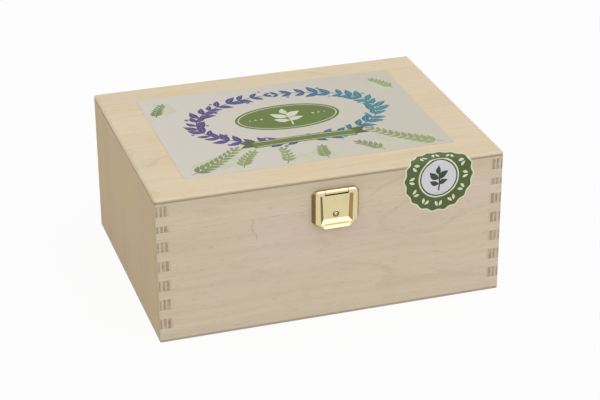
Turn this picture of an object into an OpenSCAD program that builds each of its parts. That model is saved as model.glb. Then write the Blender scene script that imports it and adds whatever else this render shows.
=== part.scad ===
// Wooden organizer box for seed packets: a plywood box with finger-jointed corners,
// a sawn-off lid on two brass hinges, a nailed-on brass clasp and fixed dividers.
// Millimetres, +Z up, +X to the right seen from the front, front face at -Y.
// The origin is the centre of the underside.

/* [Box] */
// Width over the side walls
box_w = 230; // [180:1:320]
// Depth from the front face to the back face
box_d = 175; // [140:1:240]
// Height with the lid closed
box_h = 100; // [85:1:150]
// Thickness of the front, back and side walls
wall_t = 9; // [8:0.5:12]
// Thickness of the top and bottom panels
panel_t = 3; // [2.5:0.5:5]
// Height of the lid, from the parting line to its top
lid_h = 22.4; // [22:0.2:30]
// Gap between lid and base when closed
seam_gap = 0.1; // [0.1:0.1:0.6]
// Rounding of the upright corners and the lower edge
corner_r = 1.2; // [0.5:0.1:2]
// Rounding of the lid's upper edges
lid_edge_r = 1.6; // [1:0.1:2]

/* [Finger joints] */
// Height of each finger on the side walls
finger_h = 7; // [5:0.5:10]
// Height of each tab on the front and back walls
tab_h = 6.5; // [5:0.5:10]
// Height of the lowest tab
first_tab_h = 7; // [4:0.5:10]
// Height lost to the saw that cut the lid off
kerf = 2.8; // [1:0.1:4]

/* [Dividers] */
// Thickness of the dividers
divider_t = 3; // [2:0.5:5]
// Height of the dividers above the bottom panel
divider_h = 60; // [30:1:68]
// Clear width of the middle compartments
middle_bay_w = 67.7; // [40:0.1:90]
// Depth of the grooves that hold the dividers
groove_depth = 2.5; // [1.5:0.5:4]
// Clearance around a divider in its groove or slot
divider_fit = 0.1; // [0.05:0.05:0.3]

/* [Clasp] */
// Place of the clasp along the front, from the middle
latch_x = 1; // [-20:1:20]
// Height of the clasp's pin above the parting line
latch_pin_rise = 12.4; // [12:0.1:13]
// Thickness of the sheet brass
brass_t = 0.7; // [0.6:0.05:0.8]
// Width of the hasp at its front rim
hasp_w = 28.1; // [26:0.1:34]
// Height of the chamfers on the hasp's lower corners
chamfer_h = 3.7; // [3:0.1:4.5]
// Width of the chamfers on the hasp's lower corners
chamfer_w = 5.2; // [4:0.1:6]
// How far each flank of the hasp flares out towards the wood
hasp_flare = 1.5; // [1:0.1:2]
// Length of the hasp from its pin to the end of its lip
hasp_l = 24.4; // [24:0.1:26]
// Width of the rim on either side of the pressed recess
rim_bar_w = 3.15; // [2.9:0.05:3.5]
// Depth of the pressed recess
recess_depth = 1.7; // [1.2:0.1:1.8]
// Radius of the rolled knuckles of the clasp
latch_knuckle_r = 1.65; // [1.55:0.05:1.8]
// Radius of the clasp's pin
latch_pin_r = 0.8; // [0.6:0.05:0.9]
// Width of the knuckle of the fixed plate
latch_knuckle_w = 15; // [12:0.5:16]

/* [Hinges] */
// Distance from the side of the box to the middle of a hinge
hinge_inset = 43; // [35:1:55]
// Width of a hinge
hinge_w = 25; // [20:0.5:30]
// Height of one leaf from the pin
hinge_leaf_h = 11; // [10:0.5:13]
// Thickness of the leaves
leaf_t = 0.8; // [0.6:0.1:1]
// Radius of the hinge knuckles
hinge_knuckle_r = 1.75; // [1.6:0.05:2]
// Radius of the hinge pins
hinge_pin_r = 0.9; // [0.7:0.05:1]
// Rounding of the free corners of a leaf
leaf_corner_r = 2; // [1:0.5:3]

/* [Nails] */
// Radius of a nail's shank
nail_r = 0.55; // [0.4:0.05:0.7]
// Length of a nail under its head
nail_l = 7.5; // [5:0.5:7.5]
// Radius of a nail's head
nail_head_r = 1.2; // [1:0.05:1.3]
// Height of a nail's head
nail_head_h = 0.5; // [0.3:0.05:0.55]

/* [Paper] */
// Width of the label on the lid
label_w = 180; // [100:1:180]
// Depth of the label on the lid
label_d = 130; // [80:1:130]
// How far the label lies behind the middle of the lid
label_shift = 1; // [0:0.5:2]
// Thickness of the label and the seal
paper_t = 0.2; // [0.1:0.05:0.3]
// Outer radius of the scalloped seal
seal_r = 23.7; // [20:0.1:25]
// Distance from the right side of the box to the seal's middle
seal_inset = 44.4; // [36:0.1:50]
// Depth of the seal's middle below the top of the box
seal_drop = 12; // [10.5:0.5:14]
// Number of scallops round the seal
scallop_count = 18; // [12:1:24]
// Depth of the scallops
scallop_depth = 1.1; // [0.4:0.1:2]

/* [Hidden] */
$fn = 48;

// Colours
birch = [0.78, 0.71, 0.62];
birch_side = [0.72, 0.64, 0.53];
birch_top = [0.85, 0.78, 0.66];
brass = [0.84, 0.77, 0.58];
paper = [0.82, 0.80, 0.75];
seal_green = [0.36, 0.42, 0.26];

// How far a cutter reaches past the face that it cuts
over = 1;
// Radial clearance of pins and nails in their holes
pin_fit = 0.05;
// Thickness of the slices that a loft runs between
slice = 0.02;

// Levels and faces of the box
wall_bottom = panel_t;
wall_top = box_h - panel_t;
seam_z = box_h - lid_h;
base_top = seam_z - seam_gap / 2;
lid_bottom = seam_z + seam_gap / 2;
front_y = -box_d / 2;
back_y = box_d / 2;
left_x = -box_w / 2;
right_x = box_w / 2;

// The corner joints were cut before the lid was sawn off. The lid's share of their
// pattern lies lower by what the saw took away.
pitch = finger_h + tab_h;
lid_shift = kerf - seam_gap;
joint_count = ceil((wall_top + lid_shift - wall_bottom) / pitch);
function finger_bottom(i) = wall_bottom + first_tab_h + i * pitch;

// Inside of the box
inner_w = box_w - 2 * wall_t;
inner_d = box_d - 2 * wall_t;
cross_x = (middle_bay_w + divider_t) / 2;
slot_w = divider_t + 2 * divider_fit;
tongue = groove_depth - 2 * divider_fit;
divider_top = panel_t + divider_h;
lap_z = panel_t + divider_h / 2;

// The clasp, measured from its pin, with -Y away from the wood
knuckle_clear = 0.2;
flange_clear = 0.1;
latch_standoff = latch_knuckle_r + knuckle_clear;
latch_y = front_y - latch_standoff;
latch_z = seam_z + latch_pin_rise;
plate_face = latch_standoff - brass_t;
hasp_front = -latch_knuckle_r;
hasp_back = latch_standoff - flange_clear;
lip_reach = 0.9;
lip_l = 1.3;
rim_l = hasp_l - lip_l / 2;
shoulder_l = hasp_l - chamfer_h;

// The pressed recess of the hasp: its mouth in the rim, and its floor
recess_clear = 0.25;
recess_top = latch_knuckle_r + recess_clear;
lower_bar_h = 3;
recess_bottom = hasp_l - lower_bar_h;
recess_taper = 0.4;
flank_run = 1.75;
bevel_run = 2.4;
recess_half_w = hasp_w / 2 - rim_bar_w;
floor_y = hasp_front + recess_depth;
floor_bottom = recess_bottom - bevel_run;
floor_taper = 0.9;
sheet_run = 1;
sheet_back = 0.3;
dimple_rise = 3;
dimple_l = floor_bottom - dimple_rise;
dimple_r = 2.1;
dimple_depth = 0.5;
dimple_ball_r = (pow(dimple_r, 2) + pow(dimple_depth, 2)) / (2 * dimple_depth);
detent_r = 1.4;
detent_h = 0.2;
detent_clear = 0.3;
pin_inset = 0.2;

// The two plates under the hasp, and the room that the hasp leaves them
plate_margin = 0.85;
plate_half_w = hasp_w / 2 - plate_margin;
nail_inset = 1.7;
latch_nail_x = plate_half_w - nail_inset;
seam_margin = 0.6;
plate_clear = 0.4;
plate_top = recess_top + plate_clear;
plate_bottom = latch_pin_rise - seam_gap / 2 - seam_margin;
catch_top = latch_pin_rise + seam_gap / 2 + seam_margin;
catch_bottom = shoulder_l;
plate_nail_l = (plate_top + plate_bottom) / 2;
catch_nail_drop = 1;
catch_nail_l = (catch_top + catch_bottom) / 2 + catch_nail_drop;
relief_clear = 0.15;
relief_y = plate_face - nail_head_h - relief_clear;

// The hinges, measured from the wood at the height of their pins
hinge_clear = 0.25;
hinge_x = box_w / 2 - hinge_inset;
hinge_standoff = hinge_knuckle_r + hinge_clear;
hinge_y = back_y + hinge_standoff;
knuckles = 5;
knuckle_gap = 0.15;
segment_w = hinge_w / knuckles;
web_clear = 0.45;
web_l = hinge_knuckle_r + web_clear;
leaf_nail_margin = 4.5;
leaf_nail_x = hinge_w / 2 - leaf_nail_margin;
leaf_nail_z = (web_l + hinge_leaf_h) / 2;
pilot_spare = 0.2;
pilot_depth = nail_l + pilot_spare;
nail_tip_l = 1.2;

// The seal, measured along its sheet from its own middle
seal_x = right_x - seal_inset;
seal_z = box_h - seal_drop;
bend_start = seal_drop - lid_edge_r;
bend_end = bend_start + lid_edge_r * PI / 2;
scallop_steps = 6;
seal_points = scallop_count * scallop_steps;
function seal_edge(a) = seal_r - scallop_depth / 2 * (1 - cos(a * scallop_count));
bend_half_w = sqrt(pow(seal_r - scallop_depth, 2) - pow((bend_start + bend_end) / 2, 2));

// Box between two corners
module block(lo, hi) {
    translate(lo) cube(hi - lo);
}

// Upright block with rounded corners that holds every wall
module corner_block(z0, z1) {
    translate([0, 0, z0]) linear_extrude(z1 - z0) {
        square([box_w - 2 * corner_r, box_d], center = true);
        square([box_w, box_d - 2 * corner_r], center = true);
        for (x = [-1, 1], y = [-1, 1])
            translate([x * (box_w / 2 - corner_r), y * (box_d / 2 - corner_r)]) circle(corner_r);
    }
}

// Front or back wall from y upwards, with the side walls' fingers cut out of its ends
module tabbed_wall(y, z0, z1, shift) {
    difference() {
        intersection() {
            corner_block(z0, z1);
            block([left_x, y, z0], [right_x, y + wall_t, z1]);
        }
        for (i = [0 : joint_count - 1], x = [left_x - over, right_x - wall_t])
            block([x, y - over, finger_bottom(i) - shift],
                [x + wall_t + over, y + wall_t + over, finger_bottom(i) - shift + finger_h]);
    }
}

// Side wall from x upwards, with the front and back walls' tabs cut out of its ends
module fingered_wall(x, z0, z1, shift) {
    difference() {
        intersection() {
            corner_block(z0, z1);
            block([x, front_y, z0], [x + wall_t, back_y, z1]);
        }
        for (i = [0 : joint_count], y = [front_y - over, back_y - wall_t]) {
            tab_bottom = i == 0 ? wall_bottom - over : finger_bottom(i - 1) + finger_h;
            block([x - over, y, tab_bottom - shift],
                [x + wall_t + over, y + wall_t + over, finger_bottom(i) - shift]);
        }
    }
}

// Groove for a divider across a wall's inner face, open at the top
module groove(lo, hi) {
    block([lo[0], lo[1], wall_bottom - over], [hi[0], hi[1], base_top + over]);
}

module cross_grooves(y0, y1) {
    for (x = [-cross_x, cross_x])
        groove([x - slot_w / 2, y0], [x + slot_w / 2, y1]);
}

// Panel with its upper edges rounded, standing on z = 0
module rounded_panel(r) {
    steps = 8;
    profile = [[0, 0], [r, 0], for (i = [0 : steps])
        [r * cos(90 * i / steps), panel_t - r + r * sin(90 * i / steps)]];
    hull()
        for (x = [-1, 1], y = [-1, 1])
            translate([x * (box_w / 2 - r), y * (box_d / 2 - r), 0])
                rotate_extrude($fn = 32) polygon(profile);
}

// Nail along +Z, with its head below z = 0
module nail() {
    rotate_extrude()
        polygon([
            [0, -nail_head_h], [nail_head_r * 0.55, -nail_head_h * 0.9],
            [nail_head_r * 0.9, -nail_head_h * 0.55], [nail_head_r, -nail_head_h * 0.2],
            [nail_head_r, 0], [nail_r, 0], [nail_r, nail_l - nail_tip_l], [0, nail_l]
        ]);
}

// Hole for a nail along +Z through a plate and into the wood
module nail_hole() {
    translate([0, 0, -over]) cylinder(h = pilot_depth + over, r = nail_r + pin_fit);
}

// Children on the front of the box, side by side across the clasp, driven towards the back
module at_latch_nails(l, proud) {
    for (side = [-1, 1])
        translate([latch_x + side * latch_nail_x, front_y - proud, latch_z - l])
            rotate([-90, 0, 0]) children();
}

// Children at the nails of both hinges, above the pins (up = 1) or below them (up = -1)
module at_hinge_nails(up, proud) {
    for (hinge = [-1, 1], side = [-1, 1])
        translate([hinge * hinge_x + side * leaf_nail_x, back_y + proud,
            seam_z + up * leaf_nail_z]) rotate([90, 0, 0]) children();
}

module bottom_panel() {
    color(birch_top)
        translate([0, 0, panel_t]) mirror([0, 0, 1]) rounded_panel(corner_r);
}

module base_front_wall() {
    color(birch)
        difference() {
            tabbed_wall(front_y, wall_bottom, base_top, 0);
            cross_grooves(front_y + wall_t - groove_depth, front_y + wall_t + over);
            at_latch_nails(catch_nail_l, 0) nail_hole();
        }
}

module base_back_wall() {
    color(birch)
        difference() {
            tabbed_wall(back_y - wall_t, wall_bottom, base_top, 0);
            cross_grooves(back_y - wall_t - over, back_y - wall_t + groove_depth);
            at_hinge_nails(-1, 0) nail_hole();
        }
}

module base_left_wall() {
    color(birch_side)
        difference() {
            fingered_wall(left_x, wall_bottom, base_top, 0);
            groove([left_x + wall_t - groove_depth, -slot_w / 2],
                [left_x + wall_t + over, slot_w / 2]);
        }
}

module base_right_wall() {
    color(birch_side)
        difference() {
            fingered_wall(right_x - wall_t, wall_bottom, base_top, 0);
            groove([right_x - wall_t - over, -slot_w / 2],
                [right_x - wall_t + groove_depth, slot_w / 2]);
        }
}

// Divider from side to side, slotted from above for the cross dividers
module divider_long() {
    half_w = inner_w / 2 + tongue;
    color(birch_top)
        difference() {
            block([-half_w, -divider_t / 2, panel_t], [half_w, divider_t / 2, divider_top]);
            for (x = [-cross_x, cross_x])
                block([x - slot_w / 2, -divider_t, lap_z - divider_fit],
                    [x + slot_w / 2, divider_t, divider_top + over]);
        }
}

// Divider from front to back, slotted from below
module divider_cross(x) {
    half_d = inner_d / 2 + tongue;
    color(birch_top)
        difference() {
            block([x - divider_t / 2, -half_d, panel_t], [x + divider_t / 2, half_d, divider_top]);
            block([x - divider_t, -slot_w / 2, panel_t - over],
                [x + divider_t, slot_w / 2, lap_z + divider_fit]);
        }
}

module divider_cross_left() {
    divider_cross(-cross_x);
}

module divider_cross_right() {
    divider_cross(cross_x);
}

module lid_panel() {
    color(birch_top)
        translate([0, 0, wall_top]) rounded_panel(lid_edge_r);
}

module lid_front_rail() {
    color(birch)
        difference() {
            tabbed_wall(front_y, lid_bottom, wall_top, lid_shift);
            at_latch_nails(plate_nail_l, 0) nail_hole();
        }
}

module lid_back_rail() {
    color(birch)
        difference() {
            tabbed_wall(back_y - wall_t, lid_bottom, wall_top, lid_shift);
            at_hinge_nails(1, 0) nail_hole();
        }
}

module lid_left_rail() {
    color(birch_side)
        fingered_wall(left_x, lid_bottom, wall_top, lid_shift);
}

module lid_right_rail() {
    color(birch_side)
        fingered_wall(right_x - wall_t, lid_bottom, wall_top, lid_shift);
}

// One leaf rising from the pin's height, with every other knuckle from the first one given
module hinge_leaf(first) {
    flat_h = hinge_leaf_h - web_l;
    difference() {
        union() {
            translate([0, leaf_t, web_l]) rotate([90, 0, 0]) linear_extrude(leaf_t) {
                translate([-hinge_w / 2, 0]) square([hinge_w, flat_h - leaf_corner_r]);
                translate([leaf_corner_r - hinge_w / 2, 0])
                    square([hinge_w - 2 * leaf_corner_r, flat_h]);
                for (side = [-1, 1])
                    translate([side * (hinge_w / 2 - leaf_corner_r), flat_h - leaf_corner_r])
                        circle(leaf_corner_r);
            }
            for (i = [first : 2 : knuckles - 1]) {
                x0 = -hinge_w / 2 + i * segment_w + knuckle_gap / 2;
                x1 = x0 + segment_w - knuckle_gap;
                block([x0, 0, 0], [x1, leaf_t, web_l]);
                translate([x0, hinge_standoff, 0]) rotate([0, 90, 0])
                    cylinder(h = x1 - x0, r = hinge_knuckle_r);
            }
        }
        translate([-hinge_w, hinge_standoff, 0]) rotate([0, 90, 0])
            cylinder(h = 2 * hinge_w, r = hinge_pin_r + pin_fit);
        for (side = [-1, 1])
            translate([side * leaf_nail_x, leaf_t + over, leaf_nail_z]) rotate([90, 0, 0])
                cylinder(h = leaf_t + 2 * over, r = nail_r + pin_fit);
    }
}

module base_leaf(side) {
    color(brass)
        translate([side * hinge_x, back_y, seam_z]) mirror([0, 0, 1]) hinge_leaf(0);
}

module lid_leaf(side) {
    color(brass)
        translate([side * hinge_x, back_y, seam_z]) hinge_leaf(1);
}

module hinge_pin(side) {
    color(brass)
        translate([side * hinge_x - hinge_w / 2, hinge_y, seam_z]) rotate([0, 90, 0])
            cylinder(h = hinge_w, r = hinge_pin_r);
}

module hinge_left_base_leaf() {
    base_leaf(-1);
}

module hinge_right_base_leaf() {
    base_leaf(1);
}

module hinge_left_lid_leaf() {
    lid_leaf(-1);
}

module hinge_right_lid_leaf() {
    lid_leaf(1);
}

module hinge_left_pin() {
    hinge_pin(-1);
}

module hinge_right_pin() {
    hinge_pin(1);
}

module hinge_base_nails() {
    color(brass)
        at_hinge_nails(-1, leaf_t) nail();
}

module hinge_lid_nails() {
    color(brass)
        at_hinge_nails(1, leaf_t) nail();
}

// Children at the clasp's pin
module at_latch() {
    translate([latch_x, latch_y, latch_z]) children();
}

// Flat plate under the hasp, between two depths below the pin, with its nail holes
module latch_flat(top, bottom, nail) {
    difference() {
        block([-plate_half_w, plate_face, -bottom], [plate_half_w, latch_standoff, -top]);
        for (side = [-1, 1])
            translate([side * latch_nail_x, plate_face - over, -nail]) rotate([-90, 0, 0])
                cylinder(h = brass_t + 2 * over, r = nail_r + pin_fit);
    }
}

// Round bar or bore along the clasp's pin
module latch_round(w, r) {
    translate([-w / 2, 0, 0]) rotate([0, 90, 0]) cylinder(h = w, r = r);
}

// Fixed plate on the lid, rolled round the pin in the middle
module latch_plate() {
    color(brass)
        at_latch()
            difference() {
                union() {
                    latch_flat(plate_top, plate_bottom, plate_nail_l);
                    block([-latch_knuckle_w / 2, plate_face, -plate_top],
                        [latch_knuckle_w / 2, latch_standoff, 0]);
                    latch_round(latch_knuckle_w, latch_knuckle_r);
                }
                latch_round(latch_knuckle_w + 2 * over, latch_pin_r + pin_fit);
            }
}

module latch_plate_nails() {
    color(brass)
        at_latch_nails(plate_nail_l, brass_t) nail();
}

module latch_pin() {
    color(brass)
        at_latch() latch_round(hasp_w - 2 * pin_inset, latch_pin_r);
}

// Catch plate on the base, with the hole that the hasp's dimple sits over
module catch_plate() {
    color(brass)
        at_latch()
            difference() {
                latch_flat(catch_top, catch_bottom, catch_nail_l);
                translate([0, plate_face - over, -dimple_l]) rotate([-90, 0, 0])
                    cylinder(h = brass_t + 2 * over, r = detent_r + detent_clear);
            }
}

module catch_nails() {
    color(brass)
        at_latch_nails(catch_nail_l, brass_t) nail();
}

// Outline of the hasp seen from the front, grown outwards and open to a given height
function hasp_outline(grow, top) = [
    [-hasp_w / 2 - grow, top], [hasp_w / 2 + grow, top], [hasp_w / 2 + grow, -shoulder_l],
    [hasp_w / 2 - chamfer_w + grow / 2, -rim_l - min(grow, 0)],
    [chamfer_w - hasp_w / 2 - grow / 2, -rim_l - min(grow, 0)], [-hasp_w / 2 - grow, -shoulder_l]
];

// Outline of the recess, tapering downwards
function recess_outline(half_w, taper, bottom, grow) = [
    [-half_w - grow, -recess_top], [half_w + grow, -recess_top],
    [half_w - taper + grow, -bottom - grow], [taper - half_w - grow, -bottom - grow]
];

// Thin slice of an outline that ends at y on its inner side
module outline_slice(y, outline) {
    translate([0, y, 0]) rotate([90, 0, 0]) linear_extrude(slice) polygon(outline);
}

// Solid between an outline at the front and another nearer the wood
module loft(y_front, front, y_back, back) {
    hull() {
        outline_slice(y_front + slice, front);
        outline_slice(y_back, back);
    }
}

// The hasp's dished shell, open towards the wood and clear of the catch plate
module hasp_shell() {
    difference() {
        loft(hasp_front, hasp_outline(0, 0), hasp_back, hasp_outline(hasp_flare, 0));
        loft(hasp_front + brass_t, hasp_outline(-brass_t, over),
            hasp_back + slice, hasp_outline(hasp_flare - brass_t, over));
        block([-plate_half_w - over, relief_y, -hasp_l],
            [plate_half_w + over, latch_standoff, -catch_top + over]);
    }
}

// The lip that a finger lifts
module hasp_lip() {
    half_w = hasp_w / 2 - chamfer_w;
    translate([-half_w, 0, 0]) rotate([90, 0, 90]) linear_extrude(2 * half_w)
        polygon([
            [hasp_front, lip_l - hasp_l], [hasp_front + brass_t, lip_l - hasp_l],
            [hasp_front + brass_t - lip_reach, -hasp_l], [hasp_front - lip_reach, -hasp_l]
        ]);
}

module hasp() {
    color(brass)
        at_latch()
            difference() {
                union() {
                    hasp_shell();
                    loft(hasp_front,
                        recess_outline(recess_half_w, recess_taper, recess_bottom, sheet_run),
                        floor_y + brass_t,
                        recess_outline(recess_half_w - flank_run, floor_taper, floor_bottom, sheet_back));
                    latch_round(hasp_w, latch_knuckle_r);
                    hasp_lip();
                    translate([0, floor_y + brass_t - slice, -dimple_l]) rotate([-90, 0, 0])
                        cylinder(h = detent_h + slice, r = detent_r);
                }
                loft(hasp_front - slice,
                    recess_outline(recess_half_w, recess_taper, recess_bottom, slice),
                    floor_y, recess_outline(recess_half_w - flank_run, floor_taper, floor_bottom, 0));
                block([-latch_knuckle_w / 2 - knuckle_clear, -2 * latch_standoff, -recess_top],
                    [latch_knuckle_w / 2 + knuckle_clear, 2 * latch_standoff, 2 * latch_standoff]);
                latch_round(hasp_w + 4 * hasp_flare, latch_pin_r + pin_fit);
                translate([0, floor_y + dimple_depth - dimple_ball_r, -dimple_l]) sphere(dimple_ball_r);
            }
}

module lid_label() {
    color(paper)
        translate([-label_w / 2, label_shift - label_d / 2, box_h])
            cube([label_w, label_d, paper_t]);
}

// Flat scalloped disc of paper on z = 0
module seal_disc() {
    linear_extrude(paper_t)
        polygon([for (i = [0 : seal_points - 1]) let (a = 360 * i / seal_points)
            [seal_edge(a) * cos(a), seal_edge(a) * sin(a)]]);
}

// The seal's share on the front of the box between two heights
module seal_front(z0, z1) {
    intersection() {
        translate([seal_x, front_y, seal_z]) rotate([90, 0, 0]) seal_disc();
        block([seal_x - 2 * seal_r, front_y - over, z0], [seal_x + 2 * seal_r, front_y, z1]);
    }
}

module seal_lower() {
    color(seal_green)
        seal_front(0, base_top);
}

// The lid's half of the seal, bent round the lid's upper edge
module seal_upper() {
    edge_y = front_y + lid_edge_r;
    edge_z = box_h - lid_edge_r;
    color(seal_green) {
        seal_front(lid_bottom, edge_z);
        translate([seal_x - bend_half_w, edge_y, edge_z]) rotate([90, 0, 90])
            linear_extrude(2 * bend_half_w)
                difference() {
                    intersection() {
                        circle(lid_edge_r + paper_t);
                        translate([-2 * lid_edge_r, 0]) square(2 * lid_edge_r);
                    }
                    circle(lid_edge_r);
                }
        intersection() {
            translate([seal_x, edge_y - bend_end, box_h]) seal_disc();
            block([seal_x - 2 * seal_r, edge_y, box_h],
                [seal_x + 2 * seal_r, edge_y + 2 * seal_r, box_h + over]);
        }
    }
}

bottom_panel();
base_front_wall();
base_back_wall();
base_left_wall();
base_right_wall();
divider_long();
divider_cross_left();
divider_cross_right();
catch_plate();
catch_nails();
hinge_left_base_leaf();
hinge_right_base_leaf();
hinge_left_pin();
hinge_right_pin();
hinge_base_nails();
seal_lower();
lid_panel();
lid_front_rail();
lid_back_rail();
lid_left_rail();
lid_right_rail();
hinge_left_lid_leaf();
hinge_right_lid_leaf();
hinge_lid_nails();
latch_plate();
latch_plate_nails();
latch_pin();
lid_label();
seal_upper();
hasp();
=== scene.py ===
import math

import bmesh
import bpy
from mathutils import Matrix, Vector


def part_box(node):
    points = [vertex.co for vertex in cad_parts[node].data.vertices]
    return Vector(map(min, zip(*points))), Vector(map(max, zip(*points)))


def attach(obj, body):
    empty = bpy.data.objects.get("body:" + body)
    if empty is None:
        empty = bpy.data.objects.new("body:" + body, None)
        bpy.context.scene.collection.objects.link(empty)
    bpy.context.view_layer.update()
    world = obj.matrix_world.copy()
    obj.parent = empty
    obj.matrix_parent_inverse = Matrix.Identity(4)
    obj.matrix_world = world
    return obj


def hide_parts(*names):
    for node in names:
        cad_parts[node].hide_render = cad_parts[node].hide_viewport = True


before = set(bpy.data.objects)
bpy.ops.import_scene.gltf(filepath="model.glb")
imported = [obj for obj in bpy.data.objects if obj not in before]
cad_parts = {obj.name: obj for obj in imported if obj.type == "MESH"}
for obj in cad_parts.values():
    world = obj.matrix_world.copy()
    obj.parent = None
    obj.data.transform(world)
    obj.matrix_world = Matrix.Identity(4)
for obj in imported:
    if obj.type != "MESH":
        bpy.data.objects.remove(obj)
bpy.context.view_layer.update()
bpy.ops.object.select_all(action="DESELECT")
mm = 0.001

# Studio
# The box stands on a white table that runs out of sight. One soft lamp hangs in front on the
# right, one overhead and a weak one on the left, and the room round them is white.
scene = bpy.context.scene
scene.view_settings.view_transform = "Standard"

camera_place = Vector((-0.33361, -1.06956, 0.59111))
camera_turn = math.radians(-17.5979)
camera_dip = math.radians(26.1025)
camera_roll = math.radians(-0.3315)
bpy.ops.object.camera_add()
camera = bpy.context.object
camera.name = "camera"
camera.data.lens = 110.45
camera.data.sensor_width = 36
camera.data.clip_start = 0.02
camera.matrix_world = (
    Matrix.Translation(camera_place)
    @ Matrix.Rotation(camera_turn, 4, "Z")
    @ Matrix.Rotation(math.pi / 2 - camera_dip, 4, "X")
    @ Matrix.Rotation(camera_roll, 4, "Z")
)
scene.camera = camera


def add_node(tree, kind, links=None, **settings):
    """Adds a shader node, sets it up, and links or sets its inputs."""
    made = tree.nodes.new("ShaderNode" + kind)
    for name, value in settings.items():
        setattr(made, name, value)
    for name, value in (links or {}).items():
        if isinstance(value, bpy.types.NodeSocket):
            tree.links.new(value, made.inputs[name])
        else:
            made.inputs[name].default_value = value
    return made


def tree_of(*values):
    """Node tree of the first socket among the values."""
    return next(value.id_data for value in values if isinstance(value, bpy.types.NodeSocket))


def calculate(operation, *values):
    """Socket with the result of a Math node. At least one of the values is a socket."""
    return add_node(tree_of(*values), "Math", dict(enumerate(values)), operation=operation).outputs[0]


box_middle = Vector((0, 0, 50 * mm))


def add_lamp(name, place, size, power):
    """Square area lamp that faces the box."""
    bpy.ops.object.light_add(type="AREA", location=place)
    lamp = bpy.context.object
    lamp.name = name
    lamp.data.shape = "SQUARE"
    lamp.data.size = size
    lamp.data.energy = power
    lamp.rotation_euler = (box_middle - lamp.location).to_track_quat("-Z", "Y").to_euler()


add_lamp("front_lamp", (0.9, -1.4, 1.25), 2.7, 19.0)
add_lamp("top_lamp", (0, 0.1, 2.0), 2.4, 11.5)
add_lamp("left_lamp", (-1.8, -0.3, 0.7), 1.4, 3.4)


def show_white(tree, lit, plain, share, output):
    """Ends a tree. Eyes and mirrors see a share of plain white, and light gets none of it."""
    rays = add_node(tree, "LightPath").outputs
    seen = calculate("MAXIMUM", rays["Is Camera Ray"], rays["Is Glossy Ray"])
    seen = calculate("MAXIMUM", seen, rays["Is Transmission Ray"])
    seen = calculate("MULTIPLY", seen, share)
    mix = add_node(tree, "MixShader", {0: seen, 1: lit.outputs[0], 2: plain.outputs[0]})
    add_node(tree, output, {"Surface": mix.outputs[0]})


white = (1, 1, 1, 1)
world = bpy.data.worlds.new("white_room")
scene.world = world
world.use_nodes = True
tree = world.node_tree
tree.nodes.clear()
room_light = add_node(tree, "Background", {"Color": white, "Strength": 0.54})
room_white = add_node(tree, "Background", {"Color": white, "Strength": 1.0})
show_white(tree, room_light, room_white, 1.0, "OutputWorld")

bpy.ops.mesh.primitive_plane_add(size=8, location=(0, 0, -0.1 * mm))
table_top = bpy.context.object
table_top.name = "table_top"
table_white = bpy.data.materials.new("table_white")
table_white.use_nodes = True
tree = table_white.node_tree
tree.nodes.clear()
matt = add_node(tree, "BsdfDiffuse", {"Color": (0.8, 0.8, 0.8, 1)})
glow = add_node(tree, "Emission", {"Color": white, "Strength": 1.0})
show_white(tree, matt, glow, 0.93, "OutputMaterial")
table_top.data.materials.append(table_white)
bpy.ops.object.select_all(action="DESELECT")

# Front and back walls, base and lid
# Seven-ply birch, 9 mm thick, raw and sanded, with its face grain along the wall. The walls of
# base and lid were one board each until the lid was sawn off.
wall_t = 9 * mm
finger_h, finger_pitch = 7 * mm, 13.5 * mm
base_finger, lid_finger = 10 * mm, 7.4 * mm
half_width = -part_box("base_left_wall")[0].x
half_depth = -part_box("base_front_wall")[0].y
seam_z = (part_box("base_front_wall")[1].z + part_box("lid_front_rail")[0].z) / 2


def product(first, *others):
    """Socket with all the values multiplied."""
    for value in others:
        first = calculate("MULTIPLY", first, value)
    return first


def plus(base, value, times=1.0):
    """Socket with the base and a multiple of the value."""
    return calculate("MULTIPLY_ADD", value, times, base)


def minus(value, other):
    """Socket with the difference of two values."""
    return calculate("SUBTRACT", value, other)


def size_of(value):
    """Socket with the value without its sign."""
    return calculate("ABSOLUTE", value)


def sway(base, pattern, times):
    """The base, raised and lowered by a noise that lies round 0.5."""
    return plus(base, minus(pattern, 0.5), times)


def split(vector):
    """The three parts of a vector."""
    return add_node(vector.id_data, "SeparateXYZ", {0: vector}).outputs


def stretched(vector, scale, turn=(0, 0, 0)):
    """The vector, turned and then scaled."""
    links = {"Vector": vector, "Scale": scale, "Rotation": turn}
    return add_node(vector.id_data, "Mapping", links).outputs[0]


def noise(vector, scale, detail=2.0, roughness=0.5):
    """Value of a noise, 0 to 1 round 0.5."""
    links = {"Vector": vector, "Scale": scale, "Detail": detail, "Roughness": roughness}
    return add_node(vector.id_data, "TexNoise", links).outputs["Fac"]


def fibres(vector, stretch, scale, detail=2.0, roughness=0.5, turn=(0, 0, 0)):
    """Noise that is drawn out along X."""
    return noise(stretched(vector, (stretch, 1, 1), turn), scale, detail, roughness)


def ramp(value, low, high, to_low=0.0, to_high=1.0):
    """The value's range from low to high, eased to another range and cut off outside it."""
    links = {"Value": value, "From Min": low, "From Max": high, "To Min": to_low, "To Max": to_high}
    return add_node(value.id_data, "MapRange", links, interpolation_type="SMOOTHSTEP").outputs[0]


def mix_colours(share, first, second, blend="MIX"):
    """Colour between two, or one laid over the other in a blend mode."""
    links = {0: share, 6: first, 7: second}
    tree = tree_of(share, first, second)
    return add_node(tree, "Mix", links, data_type="RGBA", blend_type=blend).outputs[2]


def link_all(inputs, **values):
    """Links each value to the input of its name."""
    for name, value in values.items():
        value.id_data.links.new(value, inputs[name])


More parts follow.
